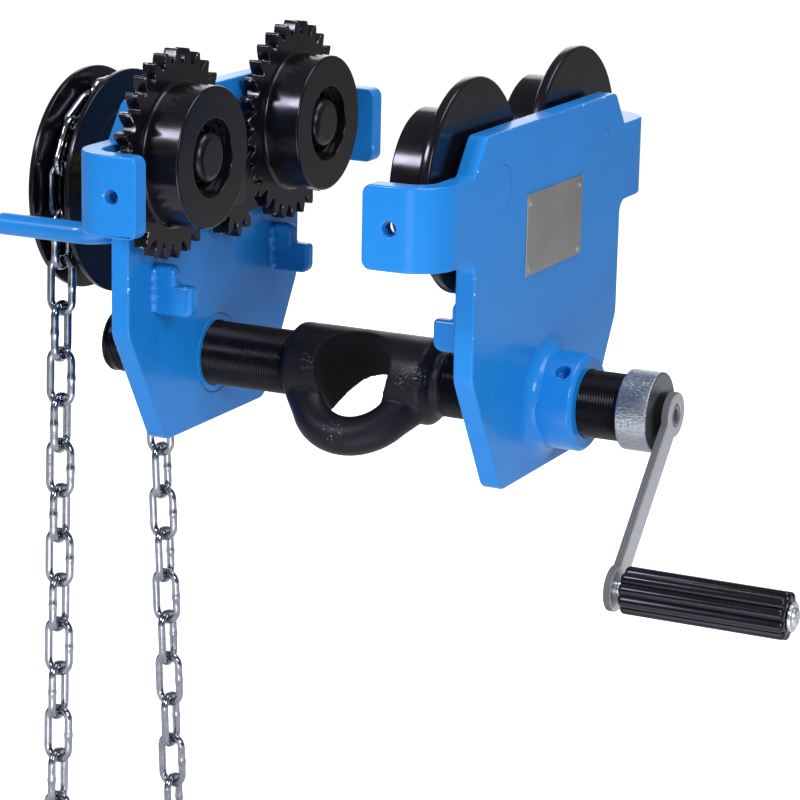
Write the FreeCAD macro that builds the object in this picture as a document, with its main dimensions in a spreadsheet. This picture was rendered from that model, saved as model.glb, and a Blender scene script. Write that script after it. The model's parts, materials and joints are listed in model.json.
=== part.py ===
import FreeCAD, Part
import math
import os
import re
import Sketcher

# Geared beam trolley. Millimetres and degrees, +Z up. The beam runs along Y and the spindle along X.
# The origin lies on the surface that the wheels roll on, midway between the side plates.

doc = FreeCAD.newDocument("beam_trolley")
sheet = doc.addObject("Spreadsheet::Sheet", "Sizes")

DRIVING_SIZES = (
    # side plates and their bent ears
    ("plate_gap", 189.0), ("plate_thick", 11.0), ("plate_top", 67.0), ("plate_top_half", 85.0),
    ("shoulder_half", 99.0), ("plate_side", 96.0), ("taper_top", -57.0), ("taper_half", 57.0),
    ("plate_bottom", -123.0), ("ear_top", 48.3), ("ear_bottom", 5.5), ("ear_face", 141.0),
    ("bend_inner", 11.0), ("ear_end", 63.8), ("ear_hole", 7.4), ("ear_hole_x", 78.6),
    ("ear_corner", 5.0), ("top_corner", 6.0), ("neck_corner", 7.0), ("side_corner", 14.0),
    ("bottom_corner", 10.0),
    # track wheels, axles and bearings
    ("axle_y", 66.5), ("tread_radius", 38.0), ("wheel_front", 60.5), ("wheel_edge", 1.2),
    ("gear_front", 81.5), ("gear_width", 8.0), ("flange_front", 84.0), ("flange_width", 6.5),
    ("flange_radius", 55.4),
    ("tooth_module", 3.5), ("gear_teeth", 30.0), ("pinion_teeth", 12.0), ("tooth_foot", 1.25),
    ("pressure_angle", 25.0), ("tooth_play", 0.3), ("axle_radius", 12.5), ("journal_radius", 10.0),
    ("collar_radius", 14.0), ("head_radius", 13.8), ("head_height", 7.3), ("head_edge", 4.2),
    ("bearing_front", 68.0), ("bearing_width", 12.0), ("bearing_radius", 21.0), ("ring_wall", 3.6),
    ("ball_count", 9.0),
    ("ball_play", 0.3), ("wheel_hole", 17.5), ("clip_thick", 1.6), ("clip_depth", 1.2),
    ("clip_width", 3.4), ("clip_play", 0.1),
    # cross spindle, nut bushes and stop ring
    ("spindle_z", -85.0), ("spindle_radius", 18.0), ("spindle_end", 29.3), ("hub_width", 17.5),
    ("thread_play", 0.05), ("barrel_radius", 23.8), ("barrel_half", 44.2), ("barrel_edge", 4.0),
    ("eye_angle", 47.2), ("eye_offset", 14.2), ("eye_ring", 27.6), ("eye_tube", 10.7),
    ("leg_turn", 38.6), ("leg_radius", 10.4), ("leg_length", 19.0), ("eye_bore", 43.8), ("bore_offset", 9.75),
    ("bush_length", 24.7), ("bush_radius", 26.0), ("spigot_radius", 22.0),
    ("bush_edge", 2.0), ("weld_leg", 5.0), ("oil_hole", 8.4), ("oil_floor", 20.2), ("oil_way", 2.4),
    ("oil_inset", 8.7), ("oil_hole_angle", 49.0),
    ("stop_gap", 23.8), ("stop_thick", 2.4), ("stop_radius", 17.6),
    ("stop_groove", 16.5), ("stop_play", 0.05),
    # crank
    ("crank_gap", 22.8), ("hub_radius", 21.4), ("hub_edge", 0.6), ("hub_pin_radius", 3.0),
    ("arm_gap", 4.8), ("arm_thick", 4.3), ("arm_width", 14.0), ("arm_eye", 12.0),
    ("crank_length", 104.0), ("crank_angle", 44.0), ("stud_radius", 6.0), ("rivet_height", 1.6),
    ("rivet_dish", 0.8),
    ("grip_gap", 3.4), ("grip_length", 88.0), ("grip_radius", 12.75), ("grip_edge", 2.0),
    ("flute_count", 10.0), ("flute_radius", 2.2), ("grip_pin_radius", 4.0), ("grip_play", 0.05),
    ("washer_radius", 7.5), ("washer_thick", 2.0), ("washer_gap", 0.3),
    # drive shaft, pinion and chain wheel
    ("shaft_radius", 8.0), ("shaft_play", 0.05), ("shaft_bush_radius", 14.0), ("shaft_bush_end", 140.0),
    ("pinion_front", 80.5), ("pinion_width", 10.0), ("chain_x", 165.0), ("groove_half", 9.6),
    ("wheel_half", 13.0), ("rim_radius", 62.5), ("seat_radius", 45.4), ("slot_half", 3.2),
    ("slot_radius", 38.4), ("web_half", 5.6), ("recess_radius", 41.0), ("hub_outer", 15.0),
    ("hub_gap", 0.5), ("key_width", 5.0), ("key_length", 22.0),
    # hand chain and its guide rods
    ("link_pitch", 26.0), ("link_wire", 4.5), ("link_width", 18.0), ("link_slack", 0.1),
    ("wheel_links", 12.0), ("wrap_links", 7.0), ("strand_links", 15.0), ("bight_links", 7.0),
    ("loop_turn", 5.3), ("guide_radius", 6.0), ("guide_y", 91.0), ("guide_z", -5.0),
    ("guide_end", 177.0), ("guide_bend", 18.0), ("guide_leg", 36.0),
    # safety lugs and the bare plate
    ("lug_y", 67.0), ("lug_thick", 8.0), ("lug_leg_x", 81.2), ("lug_top", -22.0), ("lug_foot_x", 70.9),
    ("lug_step", -32.5), ("lug_bottom", -49.3), ("lug_corner", 5.0), ("tag_length", 73.0),
    ("tag_height", 43.0), ("tag_y", 2.5), ("tag_z", 8.0), ("tag_thick", 0.8), ("tag_inset", 4.0),
    ("rivet_radius", 1.5), ("rivet_head", 2.6), ("rivet_depth", 6.0),
)
ALIASES = set()
for row, (alias, number_of_alias) in enumerate(DRIVING_SIZES, start=1):
    sheet.set("A%d" % row, alias)
    sheet.set("B%d" % row, str(number_of_alias))
    sheet.setAlias("B%d" % row, alias)
    ALIASES.add(alias)
doc.recompute()

calculator = doc.addObject("Spreadsheet::Sheet", "Calculator")
X_AXIS = FreeCAD.Vector(1, 0, 0)
Y_AXIS = FreeCAD.Vector(0, 1, 0)
Z_AXIS = FreeCAD.Vector(0, 0, 1)
HALF_TURN = FreeCAD.Rotation(Z_AXIS, 180)

GEAR_DISTANCE = "(tooth_module * (gear_teeth + pinion_teeth) / 2)"
GEAR_ROOT = "(tooth_module * (gear_teeth / 2 - tooth_foot))"
TREAD_FILLET = "((" + GEAR_ROOT + " - tread_radius) / 5)"
PINION_Z = "(tread_radius - sqrt(" + GEAR_DISTANCE + "^2 - axle_y^2))"
PLATE_INNER = "(plate_gap / 2)"
PLATE_OUTER = "(plate_gap / 2 + plate_thick)"
BUSH_OUTER = "(plate_gap / 2 + plate_thick + bush_length)"
OIL_X = "(" + BUSH_OUTER + " - oil_inset)"
STOP_X = "(0 - " + BUSH_OUTER + " - stop_gap)"
SPINDLE_LEFT = "(0 - " + BUSH_OUTER + " - spindle_end)"
HUB_START = "(" + BUSH_OUTER + " + crank_gap)"
SPINDLE_RIGHT = "(" + HUB_START + " + hub_width)"
ARM_START = "(" + SPINDLE_RIGHT + " + arm_gap)"
GRIP_START = "(" + ARM_START + " + arm_thick + grip_gap)"
BEND_START = "(ear_face - bend_inner - plate_thick)"
BEND_X = "(plate_gap / 2 - bend_inner)"
CRANK_Y = "(-1 * crank_length * sin(crank_angle))"
CRANK_Z = "(spindle_z - crank_length * cos(crank_angle))"


def bound(text):
    """Write an expression on the size names as one on the sheet's cells."""
    refer = lambda word: "Sizes." + word.group(0) if word.group(0) in ALIASES else word.group(0)
    text = re.sub(r"[a-z][a-z_]*", refer, text)
    return re.sub(r"(sin|cos)\(([^()]*)\)", r"\1((\2) * 1 deg)", text)


def number(text):
    """The value of an expression on the size names."""
    calculator.set("A1", "=" + bound(text))
    calculator.recompute()
    return float(calculator.get("A1"))


def plane_of(body, role):
    """One of a body's own origin planes or axes."""
    return next(feature for feature in body.Origin.OriginFeatures if feature.Role == role)


def new_body(label):
    body = doc.addObject("PartDesign::Body", label)
    body.Label = label
    return body


def add_feature(body, kind):
    return body.newObject("PartDesign::" + kind, body.Name + "_" + kind.lower())


def place(piece, y="0", z="0", left=False):
    """Set a piece down at y and z, turned half round for the left side of the beam."""
    piece.Placement = FreeCAD.Placement(FreeCAD.Vector(), HALF_TURN if left else FreeCAD.Rotation())
    piece.setExpression("Placement.Base.y", bound(y))
    piece.setExpression("Placement.Base.z", bound(z))


def new_sketch(body, role, offset):
    sketch = body.newObject("Sketcher::SketchObject", body.Name + "_sketch")
    sketch.AttachmentSupport = (plane_of(body, role), [""])
    sketch.MapMode = "FlatFace"
    if offset != "0":
        sketch.setExpression("AttachmentOffset.Base.z", bound(offset))
    return sketch


def pin_point(sketch, geometry, end, across, along):
    """Tie one point of a sketch to its two sizes from the sketch's origin."""
    for kind, axis, text in (("DistanceX", -2, across), ("DistanceY", -1, along)):
        if text == "0":
            sketch.addConstraint(Sketcher.Constraint("PointOnObject", geometry, end, axis))
        else:
            tie = Sketcher.Constraint(kind, -1, 1, geometry, end, number(text))
            index = sketch.addConstraint(tie)
            sketch.setExpression("Constraints[%d]" % index, bound(text))


def polygon(body, role, corners, offset="0"):
    sketch = new_sketch(body, role, offset)
    points = [FreeCAD.Vector(number(across), number(along), 0) for across, along in corners]
    count = len(points)
    for i in range(count):
        sketch.addGeometry(Part.LineSegment(points[i], points[(i + 1) % count]))
    for i in range(count):
        sketch.addConstraint(Sketcher.Constraint("Coincident", i, 2, (i + 1) % count, 1))
    for i, (across, along) in enumerate(corners):
        pin_point(sketch, i, 1, across, along)
    return sketch


def circles(body, role, places, offset="0"):
    """A sketch of circles, each given by its centre and its radius."""
    sketch = new_sketch(body, role, offset)
    for i, (across, along, radius) in enumerate(places):
        centre = FreeCAD.Vector(number(across), number(along), 0)
        sketch.addGeometry(Part.Circle(centre, Z_AXIS, number(radius)))
        pin_point(sketch, i, 3, across, along)
        index = sketch.addConstraint(Sketcher.Constraint("Radius", i, number(radius)))
        sketch.setExpression("Constraints[%d]" % index, bound(radius))
    return sketch


def pad(body, sketch, length):
    feature = add_feature(body, "Pad")
    feature.Profile = sketch
    feature.setExpression("Length", bound(length))
    doc.recompute()
    return feature


def pocket(body, sketch, length):
    before = body.Tip.Shape.Volume
    feature = add_feature(body, "Pocket")
    feature.Profile = sketch
    feature.setExpression("Length", bound(length))
    doc.recompute()
    if feature.Shape.Volume > before - 1.0:
        raise ValueError(body.Label + ": a pocket cuts nothing")
    return feature


def rounded(body, radius, chosen, kind="Fillet"):
    """Round or bevel the edges of a body that a test chooses."""
    base = body.Tip
    names = ["Edge%d" % (i + 1) for i, edge in enumerate(base.Shape.Edges) if chosen(edge)]
    feature = add_feature(body, kind)
    feature.Base = (base, names)
    feature.setExpression("Radius" if kind == "Fillet" else "Size", bound(radius))
    doc.recompute()
    return feature


def near(found, wanted):
    return abs(found - wanted) < 0.01


def lies_along(edge, axis):
    """Whether an edge is straight and runs along an axis."""
    ends = edge.Vertexes
    if len(ends) < 2 or not isinstance(edge.Curve, (Part.Line, Part.LineSegment)):
        return False
    run = ends[1].Point - ends[0].Point
    return near(abs(run.dot(axis)), run.Length)


def is_ring(edge, radius, x):
    """Whether an edge is a circle of a radius about the X axis at x."""
    return isinstance(edge.Curve, Part.Circle) and near(edge.Curve.Radius, radius) and near(
        edge.Curve.Center.x, x)


def turned(label, corners, y="0", z="0", left=False):
    """A piece turned about an axis along X, from the corners (x, radius) of its half section."""
    body = new_body(label)
    sketch = polygon(body, "XZ_Plane", corners)
    feature = add_feature(body, "Revolution")
    feature.Profile = sketch
    feature.ReferenceAxis = (sketch, ["H_Axis"])
    feature.Angle = 360
    place(body, y, z, left)
    doc.recompute()
    return body


def shaped(label, shape, y="0", z="0", left=False):
    """A piece whose shape is worked out from the sheet's sizes."""
    piece = doc.addObject("Part::Feature", label)
    piece.Label = label
    piece.Shape = shape
    place(piece, y, z, left)
    return piece


def side_plate(label, left):
    """A side plate with an ear bent inwards at each end, and the holes both plates have."""
    half_outline = [
        ("plate_top_half", "plate_top"), ("shoulder_half", "ear_top"), (BEND_START, "ear_top"),
        (BEND_START, "ear_bottom"), ("plate_side", "ear_bottom"), ("plate_side", "taper_top"),
        ("taper_half", "plate_bottom")]
    other_half = [("-1 * " + across, along) for across, along in reversed(half_outline)]
    body = new_body(label)
    pad(body, polygon(body, "YZ_Plane", half_outline + other_half, PLATE_INNER), "plate_thick")
    corner_sizes = (
        ("plate_top_half", "plate_top", "top_corner"), ("plate_side", "ear_bottom", "neck_corner"),
        ("plate_side", "taper_top", "side_corner"), ("taper_half", "plate_bottom", "bottom_corner"))
    for across, along, radius in corner_sizes:
        y, z = number(across), number(along)
        rounded(body, radius, lambda edge: lies_along(edge, X_AXIS)
                and near(abs(edge.CenterOfMass.y), y) and near(edge.CenterOfMass.z, z))
    bent_ear(body)
    mirrored = add_feature(body, "Mirrored")
    mirrored.Originals = [body.Tip]
    mirrored.MirrorPlane = (plane_of(body, "XZ_Plane"), [""])
    body.Tip = mirrored
    doc.recompute()
    end_x, face_y = number("ear_end"), number("ear_face - plate_thick / 2")
    rounded(body, "ear_corner", lambda edge: lies_along(edge, Y_AXIS)
            and near(edge.CenterOfMass.x, end_x) and near(abs(edge.CenterOfMass.y), face_y))
    holes = [("axle_y", "tread_radius", "axle_radius"), ("-1 * axle_y", "tread_radius", "axle_radius"),
             ("0", "spindle_z", "spigot_radius")]
    if left:
        holes.append(("0", PINION_Z, "shaft_bush_radius"))
    else:
        holes.extend((y, z, "rivet_radius") for y, z in tag_rivets())
    pocket(body, circles(body, "YZ_Plane", holes, PLATE_OUTER), "plate_thick")
    ear_hole = [("ear_hole_x", "(ear_top + ear_bottom) / 2", "ear_hole / 2")]
    pocket(body, circles(body, "XZ_Plane", ear_hole, "ear_face"), "2 * ear_face")
    place(body, left=left)
    return body


def bent_ear(body):
    """The ear at the plate's far end: a quarter bend and a flat tongue."""
    sketch = new_sketch(body, "XY_Plane", "ear_bottom")
    outer_bend = "(bend_inner + plate_thick)"
    corners = [
        (PLATE_OUTER, BEND_START), (BEND_X, "ear_face"), ("ear_end", "ear_face"),
        ("ear_end", "(ear_face - plate_thick)"), (BEND_X, "(ear_face - plate_thick)"),
        (PLATE_INNER, BEND_START)]
    points = [FreeCAD.Vector(number(across), number(along), 0) for across, along in corners]
    centre = FreeCAD.Vector(number(BEND_X), number(BEND_START), 0)
    quarter = math.pi / 2
    outer_circle = Part.Circle(centre, Z_AXIS, number(outer_bend))
    inner_circle = Part.Circle(centre, Z_AXIS, number("bend_inner"))
    outer_arc = sketch.addGeometry(Part.ArcOfCircle(outer_circle, 0, quarter))
    inner_arc = sketch.addGeometry(Part.ArcOfCircle(inner_circle, 0, quarter))
    lines = [sketch.addGeometry(Part.LineSegment(points[i], points[(i + 1) % 6])) for i in (1, 2, 3, 5)]
    joins = (
        (outer_arc, 2, lines[0], 1), (lines[0], 2, lines[1], 1), (lines[1], 2, lines[2], 1),
        (lines[2], 2, inner_arc, 2), (inner_arc, 1, lines[3], 1), (lines[3], 2, outer_arc, 1))
    for first, first_end, second, second_end in joins:
        sketch.addConstraint(Sketcher.Constraint("Coincident", first, first_end, second, second_end))
    ends = ((outer_arc, 1), (lines[0], 1), (lines[1], 1), (lines[2], 1), (inner_arc, 2), (lines[3], 1))
    for (geometry, end), (across, along) in zip(ends, corners):
        pin_point(sketch, geometry, end, across, along)
    for arc in (outer_arc, inner_arc):
        tie = Sketcher.Constraint("DistanceX", -1, 1, arc, 3, number(BEND_X))
        index = sketch.addConstraint(tie)
        sketch.setExpression("Constraints[%d]" % index, bound(BEND_X))
    return pad(body, sketch, "ear_top - ear_bottom")


def tag_rivets():
    """The four places of the bare plate's rivets."""
    across = "(tag_length / 2 - tag_inset)"
    along = "(tag_height / 2 - tag_inset)"
    return [("(tag_y + %s * %s)" % (i, across), "(tag_z + %s * %s)" % (j, along))
            for i in ("-1", "1") for j in ("-1", "1")]


def lug(label, y, left):
    """An L-shaped lug, which catches the beam's flange if a wheel gives way."""
    corners = [
        (PLATE_INNER, "lug_top"), ("lug_leg_x", "lug_top"), ("lug_leg_x", "lug_step"),
        ("lug_foot_x", "lug_step"), ("lug_foot_x", "lug_bottom"), (PLATE_INNER, "lug_bottom")]
    body = new_body(label)
    pad(body, polygon(body, "XZ_Plane", corners, "lug_thick / -2"), "lug_thick")
    foot_x, leg_x, inner_x = number("lug_foot_x"), number("lug_leg_x"), number(PLATE_INNER)
    bottom, step = number("lug_bottom"), number("lug_step")
    rounded(body, "lug_corner", lambda edge: lies_along(edge, Y_AXIS)
            and not near(edge.CenterOfMass.x, inner_x)
            and not (near(edge.CenterOfMass.x, leg_x) and near(edge.CenterOfMass.z, step))
            and not (near(edge.CenterOfMass.x, foot_x) and not near(edge.CenterOfMass.z, bottom)))
    place(body, y, left=left)
    return body


def gear_outline(teeth, phase):
    """The outline of a spur gear in the YZ plane, with a tooth centred at the phase angle."""
    module, play = number("tooth_module"), number("tooth_play")
    pressure = math.radians(number("pressure_angle"))
    pitch = module * teeth / 2
    base, tip, root = pitch * math.cos(pressure), pitch + module, pitch - number("tooth_foot") * module
    involute = lambda angle: math.tan(angle) - angle
    half_tooth = math.pi / (2 * teeth) - play / (2 * pitch)
    start = max(base, root)

    def flank_angle(radius):
        return half_tooth + involute(pressure) - involute(math.acos(base / radius))

    def at(radius, angle):
        return FreeCAD.Vector(0, radius * math.cos(angle), radius * math.sin(angle))

    radii = [start + (tip - start) * step / 5 for step in range(6)]
    edges = []
    for tooth in range(int(teeth)):
        middle = math.radians(phase) + 2 * math.pi * tooth / teeth
        following = middle + 2 * math.pi / teeth
        rise = [at(radius, middle - flank_angle(radius)) for radius in radii]
        fall = [at(radius, middle + flank_angle(radius)) for radius in reversed(radii)]
        foot = flank_angle(start)
        if root < base:
            edges.append(Part.makeLine(at(root, middle - foot), rise[0]))
        for points in (rise, fall):
            curve = Part.BSplineCurve()
            curve.interpolate(points)
            edges.append(curve.toShape())
            if points is rise:
                edges.append(Part.Arc(rise[-1], at(tip, middle), fall[0]).toShape())
        if root < base:
            edges.append(Part.makeLine(fall[-1], at(root, middle + foot)))
        gap = [at(root, angle) for angle in (middle + foot, (middle + following) / 2, following - foot)]
        edges.append(Part.Arc(*gap).toShape())
    return Part.Face(Part.Wire(edges))


def revolved(corners):
    """A solid of revolution about the X axis, from the corners (x, radius) of its half section."""
    points = [FreeCAD.Vector(number(x), 0, number(radius)) for x, radius in corners]
    return Part.Face(Part.makePolygon(points + points[:1])).revolve(FreeCAD.Vector(), X_AXIS, 360)


def x_cylinder(start, length, radius):
    return Part.makeCylinder(number(radius), number(length), FreeCAD.Vector(number(start), 0, 0), X_AXIS)


def wheel_bores():
    """What is taken out of a track wheel: the bearing seat, the circlip groove and the axle's way."""
    seat = x_cylinder("wheel_front", "bearing_front + bearing_width - wheel_front", "bearing_radius")
    groove = x_cylinder("bearing_front - clip_thick - clip_play", "clip_thick + clip_play",
                        "bearing_radius + clip_depth")
    return seat.fuse([groove, x_cylinder("wheel_front", "plate_gap / 2 - wheel_front", "wheel_hole")])


def track_wheel(label, y, left, geared):
    """A wheel in one piece with its gear ring or with its flange."""
    rim_start = number("gear_front" if geared else "flange_front")
    tread = x_cylinder("wheel_front", "%s - wheel_front + flange_width / 2" % rim_start, "tread_radius")
    front, tread_radius = number("wheel_front"), number("tread_radius")
    tread = tread.makeFillet(number("wheel_edge"), [
        edge for edge in tread.Edges if is_ring(edge, tread_radius, front)])
    if geared:
        ring = gear_outline(number("gear_teeth"), gear_phase(y, left))
        ring = ring.extrude(X_AXIS * number("gear_width"))
        ring.translate(X_AXIS * rim_start)
    else:
        ring = x_cylinder("flange_front", "flange_width", "flange_radius")
        ring = ring.makeChamfer(number("flange_width") / 5, ring.Edges[0:3:2])
    wheel = ring.fuse(tread).removeSplitter()
    wheel = wheel.makeFillet(number(TREAD_FILLET), [
        edge for edge in wheel.Edges if is_ring(edge, tread_radius, rim_start)])
    wheel = wheel.cut(wheel_bores()).removeSplitter()
    return shaped(label, wheel, y, "tread_radius", left)


def gear_phase(y, left):
    """The angle of a geared wheel's tooth, in the wheel's own axes, that meshes with the pinion."""
    pinion_step = 360 / number("pinion_teeth")
    gear_step = 360 / number("gear_teeth")
    across = number("0 - " + y) * (-1 if left else 1)
    down = number(PINION_Z + " - tread_radius")
    toward_pinion = math.degrees(math.atan2(down, across))
    from_pinion = toward_pinion + 180
    past_tooth = (from_pinion - 90) % pinion_step
    return toward_pinion + past_tooth * gear_step / pinion_step + gear_step / 2


def bearing_pieces(name, y, left):
    """The ball bearing of a wheel: its outer ring, balls and inner ring."""
    back = "(bearing_front + bearing_width)"
    middle = "(bearing_front + bearing_width / 2)"
    pitch = (number("bearing_radius") + number("journal_radius")) / 2
    inner_land = number("journal_radius + ring_wall")
    outer_land = number("bearing_radius - ring_wall")
    ball = (outer_land - inner_land) / 2 + number("ring_wall") / 2 - number("ball_play")
    centre = X_AXIS * number(middle)
    track = Part.makeTorus(pitch, ball + number("ball_play"), centre, X_AXIS)
    outer = revolved([("bearing_front", "bearing_radius - ring_wall"), ("bearing_front", "bearing_radius"),
                      (back, "bearing_radius"), (back, "bearing_radius - ring_wall")])
    inner = revolved([("bearing_front", "journal_radius"), ("bearing_front", "journal_radius + ring_wall"),
                      (back, "journal_radius + ring_wall"), (back, "journal_radius")])
    balls = []
    for step in range(int(number("ball_count"))):
        angle = 2 * math.pi * step / number("ball_count")
        spot = centre + FreeCAD.Vector(0, pitch * math.cos(angle), pitch * math.sin(angle))
        balls.append(Part.makeSphere(ball, spot))
    shaped(name + "_bearing_outer_ring", outer.cut(track), y, "tread_radius", left)
    shaped(name + "_bearing_balls", Part.makeCompound(balls), y, "tread_radius", left)
    shaped(name + "_bearing_inner_ring", inner.cut(track), y, "tread_radius", left)


def wheel_circlip(label, y, left):
    """The open ring that keeps the bearing in the wheel."""
    start = "(bearing_front - clip_thick - clip_play / 2)"
    ring = x_cylinder(start, "clip_thick", "bearing_radius + clip_depth - clip_play")
    ring = ring.cut(x_cylinder(start, "clip_thick", "bearing_radius - clip_width"))
    gap = number("3 * clip_width")
    opening = Part.makeBox(gap, gap, 2 * gap, FreeCAD.Vector(number(start) - gap / 2, -gap / 2, gap))
    return shaped(label, ring.cut(opening), y, "tread_radius", left)


def axle_pin(label, y, left):
    """A wheel's axle: flush with the plate's outside, with a collar, a journal and a rounded head."""
    back = "(bearing_front + bearing_width)"
    head_face = "(bearing_front - head_height)"
    corners = [
        (PLATE_OUTER, "0"), (PLATE_OUTER, "axle_radius"), (PLATE_INNER, "axle_radius"),
        (PLATE_INNER, "collar_radius"), (back, "collar_radius"), (back, "journal_radius"),
        ("bearing_front", "journal_radius"), ("bearing_front", "head_radius - clip_width"),
        ("bearing_front - head_height / 4", "head_radius - clip_width"),
        ("bearing_front - head_height / 4", "head_radius"), (head_face, "head_radius"), (head_face, "0")]
    body = turned(label, corners, y, "tread_radius", left)
    face_x, rim = number(head_face), number("head_radius")
    rounded(body, "head_edge", lambda edge: is_ring(edge, rim, face_x))
    return body


def nut_bush(label, left):
    """The bush with the spindle's thread: a spigot through the plate and a boss outside it."""
    bore = "(spindle_radius + thread_play)"
    corners = [
        (PLATE_INNER, bore), (PLATE_INNER, "spigot_radius"), (PLATE_OUTER, "spigot_radius"),
        (PLATE_OUTER, "bush_radius"), (BUSH_OUTER + " - bush_edge", "bush_radius"),
        (BUSH_OUTER, "bush_radius - bush_edge"), (BUSH_OUTER, bore)]
    body = turned(label, corners, "0", "spindle_z", left)
    if not left:
        for radius, floor in (("oil_hole / 2", "oil_floor"), ("oil_way / 2", "0")):
            hole = add_feature(body, "SubtractiveCylinder")
            hole.setExpression("Radius", bound(radius))
            hole.setExpression("Height", bound("bush_radius"))
            lean = FreeCAD.Rotation(X_AXIS, 90 - number("oil_hole_angle"))
            hole.AttachmentOffset = FreeCAD.Placement(FreeCAD.Vector(), lean)
            hole.AttachmentSupport = (plane_of(body, "XY_Plane"), [""])
            hole.MapMode = "FlatFace"
            hole.setExpression("AttachmentOffset.Base.x", bound(OIL_X))
            hole.setExpression("AttachmentOffset.Base.y", bound("-1 * " + floor + " * cos(oil_hole_angle)"))
            hole.setExpression("AttachmentOffset.Base.z", bound(floor + " * sin(oil_hole_angle)"))
            doc.recompute()
    return body


def bush_weld(label, left):
    """The weld bead round a nut bush, on the plate's outside."""
    corners = [(PLATE_OUTER, "bush_radius"), (PLATE_OUTER, "bush_radius + weld_leg"),
               (PLATE_OUTER + " + weld_leg", "bush_radius")]
    return turned(label, corners, "0", "spindle_z", left)


def load_spindle():
    """The cross spindle, with the load eye forged in one piece with its barrel."""
    end = "(" + ARM_START + " + arm_thick)"
    rod = revolved([
        (SPINDLE_LEFT, "0"), (SPINDLE_LEFT, "spindle_radius - bush_edge"),
        (SPINDLE_LEFT + " + bush_edge", "spindle_radius"), ("-1 * barrel_half", "spindle_radius"),
        ("-1 * barrel_half", "barrel_radius - barrel_edge"),
        ("-1 * barrel_half + barrel_edge", "barrel_radius"), ("barrel_half - barrel_edge", "barrel_radius"),
        ("barrel_half", "barrel_radius - barrel_edge"), ("barrel_half", "spindle_radius"),
        (SPINDLE_RIGHT, "spindle_radius"), (SPINDLE_RIGHT, "arm_eye * 0.8"), (ARM_START, "arm_eye * 0.8"),
        (ARM_START, "stud_radius"), (end, "stud_radius"), (end, "stud_radius * 0.7"),
        (end + " - rivet_dish", "stud_radius * 0.5"), (end + " - rivet_dish", "0")])
    groove_start = "(" + STOP_X + " - stop_thick / 2 - stop_play)"
    groove_width = "(stop_thick + 2 * stop_play)"
    groove = x_cylinder(groove_start, groove_width, "spindle_radius + 1")
    rod = rod.cut(groove.cut(x_cylinder(groove_start, groove_width, "stop_groove")))
    swing, spread = math.radians(number("eye_angle")), math.radians(number("leg_turn"))
    outward = FreeCAD.Vector(0, -math.sin(swing), -math.cos(swing))
    through = FreeCAD.Vector(0, math.cos(swing), -math.sin(swing))
    reach, ring_radius = 2 * number("barrel_radius"), number("eye_ring")
    loop = [Part.makeTorus(ring_radius, number("eye_tube"), outward * number("eye_offset"), through)]
    for side in (-1, 1):
        start = X_AXIS * (side * ring_radius * math.cos(spread))
        start += outward * (number("eye_offset") + ring_radius * math.sin(spread))
        along = X_AXIS * (side * math.sin(spread)) - outward * math.cos(spread)
        loop.append(Part.makeCylinder(number("leg_radius"), number("leg_length"), start, along))
    mouth = outward * number("bore_offset") - through * reach
    bore = Part.makeCylinder(number("eye_bore") / 2, 2 * reach, mouth, through)
    spindle = rod.fuse(loop).cut(bore).cut(hub_pin_shape()).removeSplitter()
    return shaped("load_spindle", spindle, "0", "spindle_z")


def hub_pin_shape():
    """The pin's solid, driven in from the far side as far as the spindle's middle."""
    middle = number("(" + HUB_START + " + " + SPINDLE_RIGHT + ") / 2")
    start = FreeCAD.Vector(middle, 0, 0)
    return Part.makeCylinder(number("hub_pin_radius"), number("hub_radius"), start, Y_AXIS)


def crank_hub():
    """The hub ring on the spindle's end, pinned to it."""
    bore, edge = "spindle_radius", "hub_edge"
    ring = revolved([
        (HUB_START, bore), (HUB_START, "hub_radius - " + edge), (HUB_START + " + " + edge, "hub_radius"),
        (SPINDLE_RIGHT + " - " + edge, "hub_radius"), (SPINDLE_RIGHT, "hub_radius - " + edge),
        (SPINDLE_RIGHT, bore)])
    outside = x_cylinder(HUB_START, SPINDLE_RIGHT + " - " + HUB_START, "hub_radius")
    shaped("crank_hub", ring.cut(hub_pin_shape()), "0", "spindle_z")
    shaped("hub_pin", hub_pin_shape().common(outside), "0", "spindle_z")


def crank_arm():
    """The flat crank arm, with a hole for the spindle's stud and one for the grip's pin."""
    body = new_body("crank_arm")
    slope_y = "(arm_width / 2 * cos(crank_angle))"
    slope_z = "(arm_width / 2 * sin(crank_angle))"
    bar = [("-1 * " + slope_y, "spindle_z + " + slope_z), (slope_y, "spindle_z - " + slope_z),
           (CRANK_Y + " + " + slope_y, CRANK_Z + " - " + slope_z),
           (CRANK_Y + " - " + slope_y, CRANK_Z + " + " + slope_z)]
    pad(body, polygon(body, "YZ_Plane", bar, ARM_START), "arm_thick")
    for y, z in (("0", "spindle_z"), (CRANK_Y, CRANK_Z)):
        pad(body, circles(body, "YZ_Plane", [(y, z, "arm_eye")], ARM_START), "arm_thick")
    holes = [("0", "spindle_z", "stud_radius"), (CRANK_Y, CRANK_Z, "grip_pin_radius")]
    pocket(body, circles(body, "YZ_Plane", holes, ARM_START + " + arm_thick"), "arm_thick")
    return body


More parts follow.
